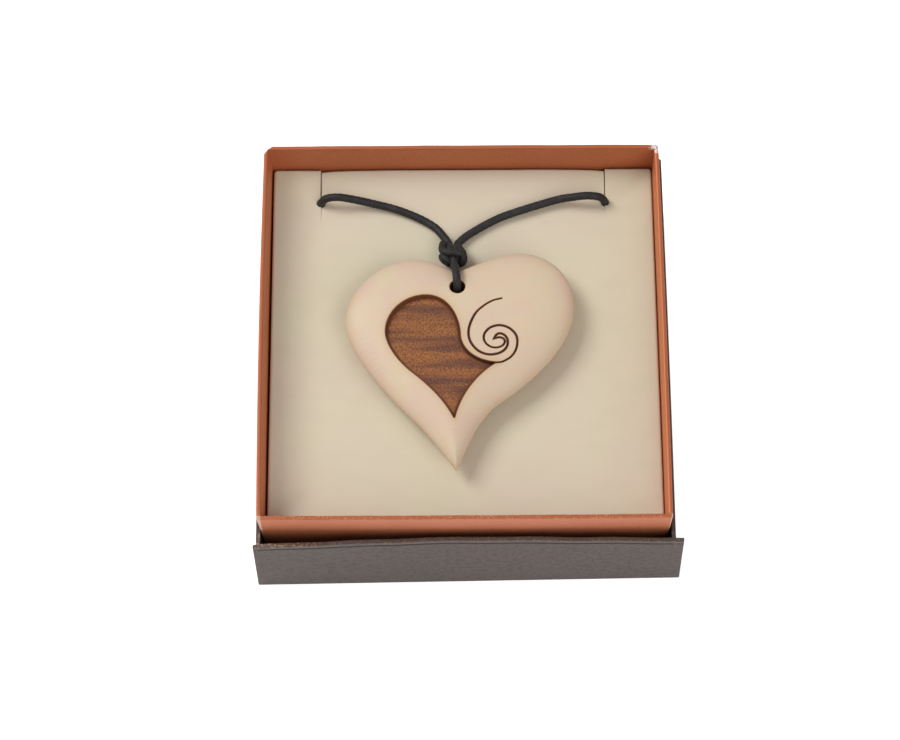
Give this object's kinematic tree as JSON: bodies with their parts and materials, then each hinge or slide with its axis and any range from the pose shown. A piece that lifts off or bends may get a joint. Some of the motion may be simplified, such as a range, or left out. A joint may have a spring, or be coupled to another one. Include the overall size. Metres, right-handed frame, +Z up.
{
  "type": "boxed heart pendant necklace",
  "caption": "Domed wooden heart pendant with a burnt recess and engraved spiral, knotted on a black waxed cord, on a slit velvet pad in a paper-covered tray that stands in its upturned lid.",
  "frame": {"origin": "on the table, under the middle of the box's base outline, ears included", "axes": "+X to the right seen from the front, +Y towards the back where the cord enters the slits, +Z up out of the open tray"},
  "size_m": [0.0958, 0.0942, 0.036],
  "materials": {
    "copper_paper": "pearlescent copper paper, satin",
    "taupe_paper": "matt fine-grained taupe paper",
    "grey_board": "raw grey board",
    "stay_paper": "kraft paper strip",
    "lining_paper": "white lining paper",
    "white_card": "white folding card",
    "white_foam": "soft open-cell foam",
    "cream_velvet": "cream flocked velvet, matt",
    "maple": "pale close-grained wood, sanded and oiled, with burnt engraving",
    "black_cord": "braided waxed cotton cord, slight sheen"
  },
  "bodies": {
    "lid": {"lid_board": "grey_board", "lid_wrap": "taupe_paper", "lid_liner": "lining_paper", "lid_corner_stay_1": "stay_paper", "lid_corner_stay_2": "stay_paper", "lid_corner_stay_3": "stay_paper", "lid_corner_stay_4": "stay_paper"},
    "tray": {"tray_board": "grey_board", "tray_wrap": "copper_paper", "tray_liner": "lining_paper", "tray_corner_stay_1": "stay_paper", "tray_corner_stay_2": "stay_paper", "tray_corner_stay_3": "stay_paper", "tray_corner_stay_4": "stay_paper"},
    "insert": {"pad_platform": "white_card", "pad_foam": "white_foam", "pad_velvet": "cream_velvet", "cord_left": "black_cord", "cord_right": "black_cord", "cord_coil": "black_cord", "coil_tie": "lining_paper"},
    "pendant": {"pendant_heart": "maple", "cord_loop": "black_cord", "cord_knot": "black_cord"}
  },
  "joints": [
    {"name": "tray_lift", "type": "slide", "parent": "lid", "child": "tray", "axis": [0, 0, 1], "range_m": [0, 0.026]},
    {"name": "insert_lift", "type": "slide", "parent": "tray", "child": "insert", "axis": [0, 0, 1], "range_m": [0, 0.033]},
    {"name": "pendant_tilt", "type": "hinge", "parent": "insert", "child": "pendant", "pos_m": [-0.0024, 0.02598, 0.0271], "axis": [-1, 0, 0], "range_deg": [0, 80]}
  ]
}
